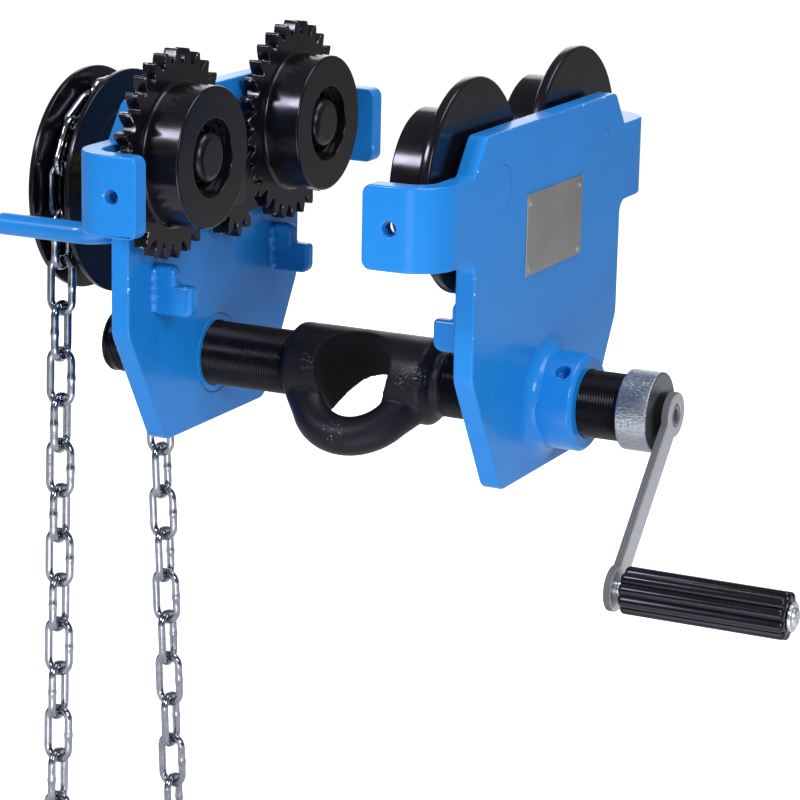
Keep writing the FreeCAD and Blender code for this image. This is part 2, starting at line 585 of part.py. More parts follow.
def crank_grip():
    """The fluted grip, which turns on its pin."""
    body = turned("crank_grip", [
        (GRIP_START, "grip_pin_radius + grip_play"), (GRIP_START, "grip_radius - grip_edge"),
        (GRIP_START + " + grip_edge", "grip_radius"),
        (GRIP_START + " + grip_length - grip_edge", "grip_radius"),
        (GRIP_START + " + grip_length", "grip_radius - grip_edge"),
        (GRIP_START + " + grip_length", "grip_pin_radius + grip_play")], CRANK_Y, CRANK_Z)
    flute = pocket(body, circles(
        body, "YZ_Plane", [("grip_radius + flute_radius / 2", "0", "flute_radius")],
        GRIP_START + " + grip_length"), "grip_length")
    pattern = add_feature(body, "PolarPattern")
    pattern.Originals = [flute]
    pattern.Axis = (plane_of(body, "X_Axis"), [""])
    pattern.Angle = 360
    pattern.setExpression("Occurrences", bound("flute_count"))
    body.Tip = pattern
    doc.recompute()
    return body


def grip_pin():
    """The pin from the arm through the grip, riveted over the arm and over the end washer."""
    washer_end = "(" + GRIP_START + " + grip_length + washer_gap + washer_thick)"
    turned("grip_pin", [
        (ARM_START + " - rivet_height", "0"), (ARM_START + " - rivet_height", "grip_pin_radius"),
        (ARM_START, "grip_pin_radius * 1.5"), (ARM_START, "grip_pin_radius"),
        (washer_end, "grip_pin_radius"), (washer_end, "grip_pin_radius * 1.3"),
        (washer_end + " + rivet_height", "grip_pin_radius"), (washer_end + " + rivet_height", "0")],
        CRANK_Y, CRANK_Z)
    start = "(" + GRIP_START + " + grip_length + washer_gap)"
    turned("grip_washer", [
        (start, "grip_pin_radius"), (start, "washer_radius"), (washer_end, "washer_radius"),
        (washer_end, "grip_pin_radius")], CRANK_Y, CRANK_Z)


def drive_train():
    """The drive shaft in its bush, with the pinion at one end and the chain wheel at the other."""
    bush_bore = "(shaft_radius + shaft_play)"
    turned("drive_shaft_bush", [
        (PLATE_INNER, bush_bore), (PLATE_INNER, "shaft_bush_radius"), ("shaft_bush_end", "shaft_bush_radius"),
        ("shaft_bush_end", bush_bore)], "0", PINION_Z, True)
    key_start = "(chain_x + web_half - key_length - hub_gap)"
    key = Part.makeBox(number("key_length"), number("key_width"), number("key_width"), FreeCAD.Vector(
        number(key_start), -number("key_width") / 2, number("shaft_radius - key_width / 2")))
    clip_start = "(chain_x + web_half)"
    clip_depth = "(shaft_radius - clip_depth)"
    shaft = revolved([
        ("pinion_front", "0"), ("pinion_front", "shaft_radius"), (clip_start, "shaft_radius"),
        (clip_start, clip_depth), (clip_start + " + clip_thick", clip_depth),
        (clip_start + " + clip_thick", "shaft_radius"), (clip_start + " + 2 * clip_thick", "shaft_radius"),
        (clip_start + " + 2 * clip_thick", "0")])
    shaped("drive_shaft", shaft.cut(key), "0", PINION_Z, True)
    shaped("wheel_key", key, "0", PINION_Z, True)
    clip_end = clip_start + " + clip_thick"
    turned("shaft_circlip", [
        (clip_start, clip_depth), (clip_start, "shaft_radius + clip_width"),
        (clip_end, "shaft_radius + clip_width"), (clip_end, clip_depth)], "0", PINION_Z, True)
    teeth = gear_outline(number("pinion_teeth"), 90).extrude(X_AXIS * number("pinion_width"))
    teeth.translate(X_AXIS * number("pinion_front"))
    bore = x_cylinder("pinion_front", "pinion_width", "shaft_radius")
    shaped("drive_pinion", teeth.cut(bore), "0", PINION_Z, True)
    chain_wheel(key)


def chain_wheel(key):
    """The hand chain wheel: two flanges, seats for the flat links and a slot for the upright ones."""
    near_side = lambda size: "(chain_x - %s)" % size
    far_side = lambda size: "(chain_x + %s)" % size
    hub_start = "(shaft_bush_end + hub_gap)"
    wheel = revolved([
        (hub_start, "shaft_radius"), (hub_start, "hub_outer"), (near_side("web_half"), "hub_outer"),
        (near_side("web_half"), "recess_radius"), (near_side("wheel_half"), "recess_radius"),
        (near_side("wheel_half"), "rim_radius"), (near_side("groove_half"), "rim_radius"),
        (near_side("groove_half"), "seat_radius"), (near_side("slot_half"), "seat_radius"),
        (near_side("slot_half"), "slot_radius"), (far_side("slot_half"), "slot_radius"),
        (far_side("slot_half"), "seat_radius"), (far_side("groove_half"), "seat_radius"),
        (far_side("groove_half"), "rim_radius"), (far_side("wheel_half"), "rim_radius"),
        (far_side("wheel_half"), "recess_radius"), (far_side("web_half"), "recess_radius"),
        (far_side("web_half"), "shaft_radius")])
    shaped("chain_wheel", wheel.cut(key), "0", PINION_Z, True)


def chain_link():
    """One link, lying along X with its width along Y."""
    wire = number("link_wire") / 2
    bend = number("link_width") / 2 - wire
    reach = number("(link_pitch + link_slack + link_wire) / 2") - bend
    corner = lambda x, y: FreeCAD.Vector(x, y, 0)
    path = Part.Wire([
        Part.makeLine(corner(-reach, -bend), corner(reach, -bend)),
        Part.Arc(corner(reach, -bend), corner(reach + bend, 0), corner(reach, bend)).toShape(),
        Part.makeLine(corner(reach, bend), corner(-reach, bend)),
        Part.Arc(corner(-reach, bend), corner(-reach - bend, 0), corner(-reach, -bend)).toShape()])
    section = Part.Wire(Part.makeCircle(wire, corner(-reach, -bend), X_AXIS))
    return path.makePipeShell([section], True, False)


def hand_chain():
    """The endless hand chain: over the wheel, down two strands and round a bight at the bottom."""
    pitch, wrap = number("link_pitch"), int(number("wrap_links"))
    strand, bight = int(number("strand_links")), int(number("bight_links"))
    step = 2 * math.pi / number("wheel_links")
    wheel_radius = pitch / (2 * math.sin(step / 2))
    bight_radius = pitch / (2 * math.sin(math.pi / (2 * bight)))
    plane_x, axle_z = -number("chain_x"), number(PINION_Z)
    turn = math.radians(number("loop_turn"))
    across = FreeCAD.Vector(math.sin(turn), math.cos(turn), 0)

    lowest_angle = (math.pi - wrap * step) / 2
    wrap_points = []
    for i in range(wrap + 1):
        angle = lowest_angle + i * step
        wrap_points.append(FreeCAD.Vector(
            plane_x, wheel_radius * math.cos(angle), axle_z + wheel_radius * math.sin(angle)))
    rear_start, front_start = wrap_points[0], wrap_points[-1]
    front_end_flat = FreeCAD.Vector(plane_x, -bight_radius * math.cos(turn), front_start.z)
    lean = front_end_flat - front_start
    drop = math.sqrt((strand * pitch) ** 2 - lean.Length ** 2)
    front_end = front_end_flat - Z_AXIS * drop
    bight_centre = front_end + across * bight_radius
    rear_end = bight_centre + across * bight_radius

    strand_points = lambda start, end: [start + (end - start) * (i / strand) for i in range(strand + 1)]
    bight_points = []
    for i in range(bight + 1):
        angle = math.pi * i / bight
        bight_points.append(bight_centre - across * (bight_radius * math.cos(angle))
                            - Z_AXIS * (bight_radius * math.sin(angle)))
    stretches = (
        ("hand_chain_on_wheel", wrap_points),
        ("hand_chain_front_strand", strand_points(front_start, front_end)),
        ("hand_chain_bight", bight_points),
        ("hand_chain_rear_strand", strand_points(rear_end, rear_start)))
    link, flat = chain_link(), True
    for label, points in stretches:
        links = []
        for start, end in zip(points[:-1], points[1:]):
            along = (end - start).normalize()
            wide = X_AXIS if flat else along.cross(X_AXIS)
            turned_link = link.copy()
            turned_link.Placement = FreeCAD.Placement(
                (start + end) / 2, FreeCAD.Rotation(along, wide, FreeCAD.Vector(), "XYZ"))
            links.append(turned_link)
            flat = not flat
        shaped(label, Part.makeCompound(links))


def chain_guide(label, end):
    """A round rod welded to the left plate's outside and bent out past the chain."""
    rod_x = number("-1 * (plate_gap / 2 + plate_thick + guide_radius)")
    bend, y, z = number("guide_bend"), end * number("guide_y"), number("guide_z")
    spot = lambda x, y_there: FreeCAD.Vector(x, y_there, z)
    middle = bend * math.sqrt(0.5)
    start = spot(-number("guide_end"), y)
    bend_start, bend_end = spot(rod_x - bend, y), spot(rod_x, y - end * bend)
    bend_middle = spot(rod_x - bend + middle, y - end * (bend - middle))
    path = Part.Wire([
        Part.makeLine(start, bend_start), Part.Arc(bend_start, bend_middle, bend_end).toShape(),
        Part.makeLine(bend_end, bend_end - Y_AXIS * (end * number("guide_leg")))])
    section = Part.Wire(Part.makeCircle(number("guide_radius"), start, X_AXIS))
    rod = path.makePipeShell([section], True, False)
    edges = [edge for edge in rod.Edges if near(edge.CenterOfMass.x, start.x)]
    shaped(label, rod.makeFillet(number("guide_radius") / 4, edges))


def stop_ring():
    """The ring near the spindle's free end, which keeps the left bush from running off the thread."""
    start, end = "(" + STOP_X + " - stop_thick / 2)", "(" + STOP_X + " + stop_thick / 2)"
    turned("spindle_stop_ring", [
        (start, "stop_groove + stop_play"), (start, "stop_radius"), (end, "stop_radius"),
        (end, "stop_groove + stop_play")], "0", "spindle_z")


def bare_tag():
    """The plain plate on the right side plate, and its four rivets."""
    body = new_body("tag_plate")
    low_y, high_y = "(tag_y - tag_length / 2)", "(tag_y + tag_length / 2)"
    low_z, high_z = "(tag_z - tag_height / 2)", "(tag_z + tag_height / 2)"
    corners = [(low_y, low_z), (high_y, low_z), (high_y, high_z), (low_y, high_z)]
    pad(body, polygon(body, "YZ_Plane", corners, PLATE_OUTER), "tag_thick")
    holes = [(y, z, "rivet_radius") for y, z in tag_rivets()]
    pocket(body, circles(body, "YZ_Plane", holes, PLATE_OUTER + " + tag_thick"), "tag_thick")
    head = PLATE_OUTER + " + tag_thick"
    rivet = revolved([
        (PLATE_OUTER + " - rivet_depth", "0"), (PLATE_OUTER + " - rivet_depth", "rivet_radius"),
        (head, "rivet_radius"), (head, "rivet_head"), (head + " + rivet_radius / 2", "rivet_radius"),
        (head + " + rivet_radius / 2", "0")])
    rivets = []
    for y, z in tag_rivets():
        one = rivet.copy()
        one.translate(FreeCAD.Vector(0, number(y), number(z)))
        rivets.append(one)
    shaped("tag_rivets", Part.makeCompound(rivets))


# The spindle, which everything hangs on, with its stop ring and crank
stop_ring()
load_spindle()
crank_hub()
crank_arm()
grip_pin()
crank_grip()

# The two side plates with what is fixed to them
for side, is_left in (("left", True), ("right", False)):
    side_plate(side + "_side_plate", is_left)
    nut_bush(side + "_nut_bush", is_left)
    bush_weld(side + "_bush_weld", is_left)
    for end, sign in (("front", "-1"), ("rear", "1")):
        lug("%s_%s_lug" % (side, end), sign + " * lug_y", is_left)
        axle_pin("%s_%s_axle_pin" % (side, end), sign + " * axle_y", is_left)
bare_tag()

# The four track wheels on their bearings
for end, sign in (("front", "-1"), ("rear", "1")):
    for kind, is_left in (("geared", True), ("plain", False)):
        wheel_name = "%s_%s_wheel" % (end, kind)
        wheel_y = sign + " * axle_y"
        track_wheel(wheel_name, wheel_y, is_left, is_left)
        bearing_pieces(wheel_name, wheel_y, is_left)
        wheel_circlip(wheel_name + "_circlip", wheel_y, is_left)

# The hand drive
drive_train()
hand_chain()
for end, sign in (("front", -1), ("rear", 1)):
    chain_guide(end + "_chain_guide", sign)

doc.removeObject(calculator.Name)
doc.recompute()

os.makedirs("parts", exist_ok=True)
for piece in doc.Objects:
    if "Invalid" in piece.State or "Error" in piece.State:
        raise ValueError(piece.Label + " did not compute")
    if piece.TypeId in ("PartDesign::Body", "Part::Feature"):
        if piece.Shape.isNull() or not piece.Shape.isValid():
            raise ValueError(piece.Label + " has no valid shape")
        piece.Shape.exportStep("parts/" + piece.Label + ".step")
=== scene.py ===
import json
from math import cos, pi, radians, sin, sqrt

import bmesh
import bpy
from mathutils import Matrix, Vector


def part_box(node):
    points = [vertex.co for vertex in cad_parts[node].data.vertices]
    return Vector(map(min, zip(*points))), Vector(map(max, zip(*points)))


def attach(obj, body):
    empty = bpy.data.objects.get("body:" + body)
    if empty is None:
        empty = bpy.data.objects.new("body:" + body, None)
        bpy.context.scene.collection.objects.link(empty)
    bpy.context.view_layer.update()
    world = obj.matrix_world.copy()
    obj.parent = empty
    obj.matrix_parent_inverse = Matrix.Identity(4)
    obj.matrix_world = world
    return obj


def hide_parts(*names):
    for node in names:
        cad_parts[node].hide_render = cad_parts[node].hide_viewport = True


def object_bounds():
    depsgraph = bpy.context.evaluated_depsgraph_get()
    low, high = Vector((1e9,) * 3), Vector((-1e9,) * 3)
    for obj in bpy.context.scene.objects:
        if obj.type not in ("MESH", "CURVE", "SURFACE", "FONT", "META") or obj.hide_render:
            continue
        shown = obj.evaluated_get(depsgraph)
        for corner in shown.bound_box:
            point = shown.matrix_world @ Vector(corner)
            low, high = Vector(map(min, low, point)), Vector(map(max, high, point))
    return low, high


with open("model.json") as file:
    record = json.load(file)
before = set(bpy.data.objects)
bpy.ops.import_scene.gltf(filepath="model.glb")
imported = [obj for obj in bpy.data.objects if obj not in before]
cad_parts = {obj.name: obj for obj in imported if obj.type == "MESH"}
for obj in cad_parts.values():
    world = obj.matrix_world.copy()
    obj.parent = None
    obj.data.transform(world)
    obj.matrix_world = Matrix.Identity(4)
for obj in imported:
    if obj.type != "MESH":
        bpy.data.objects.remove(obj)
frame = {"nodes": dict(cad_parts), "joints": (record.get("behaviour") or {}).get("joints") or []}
packed_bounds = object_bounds()
scene = bpy.context.scene

# The two side plates are flame-cut steel, 11 mm thick, with an ear on each side bent inwards
# in a press. They are brushed down and coated in glossy blue, ears and edges included.


def copied(name, node, across=(), up=()):
    """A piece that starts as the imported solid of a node, with its seams closed.

    Its flat faces are made whole, then parted at the heights and places of their holes.
    """
    seam, flat = 2e-6, radians(0.02)
    packed = frame["nodes"][node].data
    mesh = bpy.data.meshes.new(name)
    mesh.from_pydata([v.co for v in packed.vertices], [], [p.vertices[:] for p in packed.polygons])
    skin = bmesh.new()
    skin.from_mesh(mesh)
    bmesh.ops.remove_doubles(skin, verts=skin.verts[:], dist=seam)
    bmesh.ops.dissolve_degenerate(skin, edges=skin.edges[:], dist=seam / 2)
    partings = [(1, y) for y in across] + [(2, z) for z in up]
    for axis, place in partings:
        at, facing = Vector((0, 0, 0)), Vector((0, 0, 0))
        at[axis], facing[axis] = place, 1
        bmesh.ops.bisect_plane(
            skin, geom=skin.verts[:] + skin.edges[:] + skin.faces[:], plane_co=at, plane_no=facing,
            dist=seam)

    def parted(edge):
        return any(all(abs(end.co[axis] - place) < 2 * seam for end in edge.verts)
                   for axis, place in partings)

    bmesh.ops.dissolve_edges(skin, use_verts=True, edges=[
        edge for edge in skin.edges if len(edge.link_faces) == 2
        and edge.calc_face_angle() < flat and not parted(edge)])
    bmesh.ops.recalc_face_normals(skin, faces=skin.faces[:])
    skin.to_mesh(mesh)
    skin.free()
    piece = bpy.data.objects.new(name, mesh)
    scene.collection.objects.link(piece)
    return piece


def baked(piece):
    """Turn a piece and its modifiers into one plain mesh."""
    whole = piece.evaluated_get(bpy.context.evaluated_depsgraph_get())
    mesh = bpy.data.meshes.new_from_object(whole)
    rough = piece.data
    piece.modifiers.clear()
    piece.data = mesh
    bpy.data.meshes.remove(rough)
    mesh.name = piece.name
    return piece


def eased(piece, radius, steps=3, sharp=lambda middle: False, bend=30):
    """Round a piece's edges to a radius, but for those that stay sharp, and shade it smoothly.

    Only edges that turn by more than the bend, in degrees, are rounded. The attribute "rim" is 1
    on the rounded edges, where a finish shows its wear.
    """
    skin = bmesh.new()
    skin.from_mesh(piece.data)
    weight = skin.edges.layers.float.new("bevel_weight_edge")
    for edge in skin.edges:
        turns = len(edge.link_faces) == 2 and edge.calc_face_angle() > radians(bend)
        middle = (edge.verts[0].co + edge.verts[1].co) / 2
        edge[weight] = 1.0 if turns and not sharp(middle) else 0.0
    skin.to_mesh(piece.data)
    skin.free()
    piece.data.shade_smooth()
    rounding = piece.modifiers.new("edge radius", "BEVEL")
    rounding.width = radius
    rounding.segments = steps
    rounding.limit_method = "WEIGHT"
    rounding.use_clamp_overlap = False
    rounding.material = 1
    for _ in range(2):
        piece.data.materials.append(None)
    baked(piece)
    rim = piece.data.attributes.new("rim", "FLOAT", "FACE")
    for face in piece.data.polygons:
        rim.data[face.index].value = float(face.material_index)
        face.material_index = 0
    still_smooth = bend + 2
    piece.data.set_sharp_from_angle(angle=radians(still_smooth))
    evened = piece.modifiers.new("flat faces", "WEIGHTED_NORMAL")
    evened.keep_sharp = True
    return baked(piece)


def fitted(piece, finish, body, slot, *nodes):
    """Give a piece its finish and hang it on the body that it moves with."""
    piece.data.materials.clear()
    piece.data.materials.append(finish)
    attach(piece, body)
    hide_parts(*nodes)


def surface(finish):
    """The sockets of a finish's shader."""
    return finish.node_tree.nodes["Principled BSDF"].inputs


# Where a Mix node takes and gives its colours.
colour_a, colour_b, colour_out = 6, 7, 2


def coated(name, pale, deep, patch, glossy, dull, grain, depth):
    """A finish whose colour and gloss drift over patches, with a fine grain of a given depth."""
    finish = bpy.data.materials.new(name)
    finish.use_nodes = True
    tree = finish.node_tree
    join = tree.links.new
    place = tree.nodes.new("ShaderNodeTexCoord")
    place.name = "place"
    patches = tree.nodes.new("ShaderNodeTexNoise")
    patches.name = "patches"
    patches.inputs["Scale"].default_value = patch
    patches.inputs["Detail"].default_value = 6.0
    join(place.outputs["Object"], patches.inputs["Vector"])
    tint = tree.nodes.new("ShaderNodeMix")
    tint.name = "tint"
    tint.data_type = "RGBA"
    tint.inputs[colour_a].default_value = (*deep, 1.0)
    tint.inputs[colour_b].default_value = (*pale, 1.0)
    join(patches.outputs["Fac"], tint.inputs[0])
    join(tint.outputs[colour_out], surface(finish)["Base Color"])
    gloss = tree.nodes.new("ShaderNodeMapRange")
    gloss.inputs["From Min"].default_value = 0.3
    gloss.inputs["From Max"].default_value = 0.7
    gloss.inputs["To Min"].default_value = glossy
    gloss.inputs["To Max"].default_value = dull
    join(patches.outputs["Fac"], gloss.inputs["Value"])
    join(gloss.outputs["Result"], surface(finish)["Roughness"])
    grains = tree.nodes.new("ShaderNodeTexNoise")
    grains.name = "grains"
    grains.inputs["Scale"].default_value = grain
    grains.inputs["Detail"].default_value = 3.0
    join(place.outputs["Object"], grains.inputs["Vector"])
    relief = tree.nodes.new("ShaderNodeBump")
    relief.inputs["Strength"].default_value = 1.0
    relief.inputs["Distance"].default_value = depth
    join(grains.outputs["Fac"], relief.inputs["Height"])
    join(relief.outputs["Normal"], surface(finish)["Normal"])
    return finish


def chips_and_glints(finish, bare_and_glint_colour, grain, share, glint_places=()):
    """Let the metal beneath a finish show in chips along its rounded edges, and paint glints in its
    colour round the places given.
    """
    tree = finish.node_tree
    join = tree.links.new
    place = tree.nodes["place"].outputs["Object"]
    rim = tree.nodes.new("ShaderNodeAttribute")
    rim.attribute_name = "rim"
    wear_and_glint_places = rim.outputs["Fac"]
    # Each place given adds painted glints round its middle, fading out to its reach.
    for middle, reach in glint_places:
        away = tree.nodes.new("ShaderNodeVectorMath")
        away.operation = "DISTANCE"
        away.inputs[1].default_value = middle
        join(place, away.inputs[0])
        fade = tree.nodes.new("ShaderNodeMapRange")
        fade.inputs["From Min"].default_value = reach
        fade.inputs["From Max"].default_value = reach / 4
        join(away.outputs["Value"], fade.inputs["Value"])
        uneven = tree.nodes.new("ShaderNodeMath")
        uneven.operation = "MULTIPLY"
        join(fade.outputs["Result"], uneven.inputs[0])
        join(tree.nodes["patches"].outputs["Fac"], uneven.inputs[1])
        either = tree.nodes.new("ShaderNodeMath")
        either.operation = "MAXIMUM"
        join(wear_and_glint_places, either.inputs[0])
        join(uneven.outputs[0], either.inputs[1])
        wear_and_glint_places = either.outputs[0]
    knocks = tree.nodes.new("ShaderNodeTexNoise")
    knocks.inputs["Scale"].default_value = grain
    knocks.inputs["Detail"].default_value = 5.0
    knocks.inputs["Roughness"].default_value = 0.65
    join(place, knocks.inputs["Vector"])
    worn = tree.nodes.new("ShaderNodeMapRange")
    worn.inputs["From Min"].default_value = 0.5 + share
    worn.inputs["From Max"].default_value = 0.53 + share
    join(knocks.outputs["Fac"], worn.inputs["Value"])
    here = tree.nodes.new("ShaderNodeMath")
    here.operation = "MULTIPLY"
    join(worn.outputs["Result"], here.inputs[0])
    join(wear_and_glint_places, here.inputs[1])
    chip_and_glint_mix = tree.nodes.new("ShaderNodeMix")
    chip_and_glint_mix.data_type = "RGBA"
    chip_and_glint_mix.inputs[colour_b].default_value = (*bare_and_glint_colour, 1.0)
    join(here.outputs[0], chip_and_glint_mix.inputs[0])
    join(tree.nodes["tint"].outputs[colour_out], chip_and_glint_mix.inputs[colour_a])
    join(chip_and_glint_mix.outputs[colour_out], surface(finish)["Base Color"])


sides = (("left", -1), ("right", 1))
axle_y, axle_z, axle_rim = 0.0665, 0.038, 0.0135
spindle_z, pinion_z, ear_hole_z = -0.085, 0.0067, 0.0269
rivet_front_y, rivet_rear_y, rivet_low_z, rivet_high_z = -0.03, 0.035, -0.0095, 0.0255
# A parting at the upper rivets' height would graze the axle holes, so it runs a little lower.
clear_of_axle = 0.0005
axle_places = [Vector((0, y, axle_z)) for y in (-axle_y, axle_y)]


def on_axle(middle):
    """True on the rims of the axle holes, where the pins are flush with the plate."""
    beside = Vector((0, middle.y, middle.z))
    return min((beside - place).length for place in axle_places) < axle_rim


blue_paint = coated(
    "blue_paint", pale=(0.012, 0.208, 0.63), deep=(0.008, 0.168, 0.53), patch=18.0, glossy=0.24,
    dull=0.34, grain=260.0, depth=1.6e-5)
chips_and_glints(blue_paint, bare_and_glint_colour=(0.42, 0.55, 0.68), grain=170.0, share=0.14)
surface(blue_paint)["Coat Weight"].default_value = 0.15
surface(blue_paint)["Coat Roughness"].default_value = 0.06
surface(blue_paint)["Specular IOR Level"].default_value = 0.22
for side, _ in sides:
    plate = copied(
        side + "_plate", side + "_side_plate",
        across=(-axle_y, rivet_front_y, 0, rivet_rear_y, axle_y),
        up=(spindle_z, rivet_low_z, pinion_z, rivet_high_z - clear_of_axle, ear_hole_z, axle_z))
    eased(plate, radius=0.0011, sharp=on_axle)
    fitted(plate, blue_paint, side + "_side", "blue_paint", side + "_side_plate")

# The nut bushes are turned steel, tapped left-handed on one side and right-handed on the
# other, pushed through the plates and welded round on the outside, then painted with them.
weld_foot_radius, weld_rise, weld_inner_radius, lumpy_from = 0.0342, 0.0083, 0.0254, 0.026
weld_top_x, weld_length, weld_root_x = 0.1125, 0.007, 0.1052
weld_profile = [
    (weld_top_x - weld_length * cos(angle), weld_foot_radius - weld_rise * sin(angle))
    for angle in (pi / 2 * i / 9 for i in range(10))]
weld_profile += [
    (weld_top_x, weld_inner_radius), (weld_root_x, weld_inner_radius),
    (weld_root_x, weld_foot_radius)]


def ringed(name, rings, capped, sharp):
    """A piece skinned over rings of points, with capped ends or else closed into a loop.

    Edges that turn by more than the sharp angle, in degrees, aren't shaded smoothly.
    """
    around, faces = len(rings[0]), []
    points = [point for ring in rings for point in ring]
    for i in range(len(rings) - 1 if capped else len(rings)):
        low, high = i * around, (i + 1) % len(rings) * around
        for k in range(around):
            after = (k + 1) % around
            faces.append((low + k, low + after, high + after, high + k))
    if capped:
        faces.append(tuple(reversed(range(around))))
        faces.append(tuple(len(points) - around + k for k in range(around)))
    mesh = bpy.data.meshes.new(name)
    mesh.from_pydata(points, [], faces)
    skin = bmesh.new()
    skin.from_mesh(mesh)
    bmesh.ops.recalc_face_normals(skin, faces=skin.faces[:])
    skin.to_mesh(mesh)
    skin.free()
    mesh.shade_smooth()
    mesh.set_sharp_from_angle(angle=radians(sharp))
    piece = bpy.data.objects.new(name, mesh)
    scene.collection.objects.link(piece)
    return piece


def spread(count):
    """Angles spaced evenly round a circle."""
    return [2 * pi * k / count for k in range(count)]


def weld_ring(x, radius):
    """A ring of the weld round a bush, lumpy except where it meets the bush."""
    ring = []
    for angle in spread(120):
        ripple, wander = 0.00009 * sin(41 * angle), 0.00035 * sin(5 * angle + 1)
        out = radius + (ripple + wander) if radius > lumpy_from else radius
        ring.append((x, out * cos(angle), spindle_z + out * sin(angle)))
    return ring


for side, outwards in sides:
    bush = copied(side + "_bush", side + "_nut_bush", across=(0,), up=(spindle_z,))
    eased(bush, radius=0.0006)
    fitted(bush, blue_paint, side + "_side", "blue_paint", side + "_nut_bush")
    fillet = ringed(
        side + "_weld_fillet", [weld_ring(outwards * x, radius) for x, radius in weld_profile],
        capped=False, sharp=50)
    fitted(fillet, blue_paint, side + "_side", "blue_paint", side + "_bush_weld")

# The lugs under the wheels are bent from flat bar and welded to the inner faces of the plates.
# They catch the beam's flange if a wheel axle breaks, and are painted with the plates.
bead_radius, bead_buried, bead_short = 0.0034, 0.0004, 0.001
ripple_length, wander_length = 0.0052, 0.0131


def weld_run(name, x, y, bottom, top):
    """A lumpy bead of weld that runs up the side of a lug."""
    rings, steps = [], 60
    for i in range(steps + 1):
        share = i / steps
        height = bottom + (top - bottom) * share
        ripple = 0.05 * sin(2 * pi * height / ripple_length + y * 300)
        wander = 0.07 * sin(2 * pi * height / wander_length + y * 170)
        rounded_end = max(0.02, 1 - abs(2 * share - 1) ** 8) ** 0.5
        radius = bead_radius * (1 + ripple + wander) * rounded_end
        rings.append([(x + radius * cos(angle), y + radius * sin(angle), height)
                      for angle in spread(20)])
    return ringed(name, rings, capped=True, sharp=180)


for side, outwards in sides:
    for end in ("front", "rear"):
        node = side + "_" + end + "_lug"
        lug = copied(node + "_bar", node)
        eased(lug, radius=0.0022, steps=4)
        fitted(lug, blue_paint, side + "_side", "blue_paint", node)
        low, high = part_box(node)
        root_x = high.x - bead_buried if outwards > 0 else low.x + bead_buried
        for edge_y, mark in ((low.y, "a"), (high.y, "b")):
            bead = weld_run(
                node + "_weld_" + mark, root_x, edge_y, low.z + bead_short, high.z - bead_short)
            fitted(bead, blue_paint, side + "_side", "blue_paint", node)

# The axle pins are turned steel studs, riveted into the plates, with a rounded head that shows
# in the middle of each wheel. They are blacked, but their flush ends are painted with the plates.
painted_from_x = 0.1045


def shortened(piece, x, outwards):
    """Saw a piece off at a place along X, take away what is beyond it, and close the cut."""
    skin = bmesh.new()
    skin.from_mesh(piece.data)
    cut = bmesh.ops.bisect_plane(
        skin, geom=skin.verts[:] + skin.edges[:] + skin.faces[:], plane_co=(x, 0, 0),
        plane_no=(outwards, 0, 0), clear_outer=True)
    edges = [e for e in cut["geom_cut"] if isinstance(e, bmesh.types.BMEdge)]
    bmesh.ops.holes_fill(skin, edges=edges, sides=0)
    bmesh.ops.recalc_face_normals(skin, faces=skin.faces[:])
    skin.to_mesh(piece.data)
    skin.free()
    return piece


def cooled(finish, level):
    """Give a black finish a weak reflection with a cool tint."""
    surface(finish)["Specular IOR Level"].default_value = level
    surface(finish)["Specular Tint"].default_value = (0.8, 0.78, 1.0, 1.0)


axle_black = coated(
    "axle_black", pale=(0.0055, 0.0055, 0.007), deep=(0.0028, 0.0028, 0.004), patch=60.0,
    glossy=0.22, dull=0.34, grain=700.0, depth=1e-5)
cooled(axle_black, level=0.42)
for side, outwards in sides:
    for end in ("front", "rear"):
        node = side + "_" + end + "_axle_pin"
        pin = shortened(copied(node + "_stud", node), outwards * painted_from_x, outwards)
        eased(pin, radius=0.0006)
        fitted(pin, axle_black, side + "_side", "wheel_black", node)
        pin_end = shortened(copied(node + "_end", node), outwards * painted_from_x, -outwards)
        eased(pin_end, radius=0.0005, steps=2)
        fitted(pin_end, blue_paint, side + "_side", "blue_paint", node)

# The rating tag is a thin aluminium plate, left bare, held by four dome-headed drive rivets on
# the outside of the crank's plate.
satin_aluminium = coated(
    "satin_aluminium", pale=(0.46, 0.46, 0.46), deep=(0.36, 0.36, 0.365), patch=45.0, glossy=0.3,
    dull=0.46, grain=900.0, depth=1e-5)
surface(satin_aluminium)["Metallic"].default_value = 0.9
tag = copied(
    "rating_tag", "tag_plate", across=(rivet_front_y, rivet_rear_y), up=(rivet_low_z, rivet_high_z))
eased(tag, radius=0.0002)
fitted(tag, satin_aluminium, "right_side", "tag_aluminium", "tag_plate")
rivets = copied("tag_rivet_heads", "tag_rivets")
eased(rivets, radius=0.0002)
fitted(rivets, satin_aluminium, "right_side", "tag_aluminium", "tag_rivets")

# The four track wheels are machined from cast blanks. Two have teeth cut in their flanges, the
# other two have plain flanges, and all are blacked in a semi-gloss lacquer, which wears off the
# flanges and the teeth.
gear_root, tooth_land = 0.048, 0.93
wheel_black = coated(
    "wheel_black", pale=(0.0055, 0.0055, 0.007), deep=(0.0028, 0.0028, 0.004), patch=40.0,
    glossy=0.12, dull=0.24, grain=500.0, depth=8e-6)
cooled(wheel_black, level=0.38)
chips_and_glints(wheel_black, bare_and_glint_colour=(0.3, 0.3, 0.29), grain=240.0, share=0.08)
for end, axle in zip(("front", "rear"), axle_places):
    for kind in ("geared", "plain"):
        node = end + "_" + kind + "_wheel"
        wheel = copied(node + "_casting", node, across=(-axle_y, axle_y), up=(axle_z,))
        eased(wheel, radius=0.0005, bend=52)
        marks = wheel.data.attributes["rim"].data
        for face in wheel.data.polygons:
            out = Vector((0, face.center.y - axle.y, face.center.z - axle.z))
            if out.length < gear_root:
                marks[face.index].value = 0.0
            elif kind == "geared" and abs(face.normal.dot(out.normalized())) > tooth_land:
                marks[face.index].value = 1.0
        fitted(wheel, wheel_black, node + "_body", "wheel_black", node)

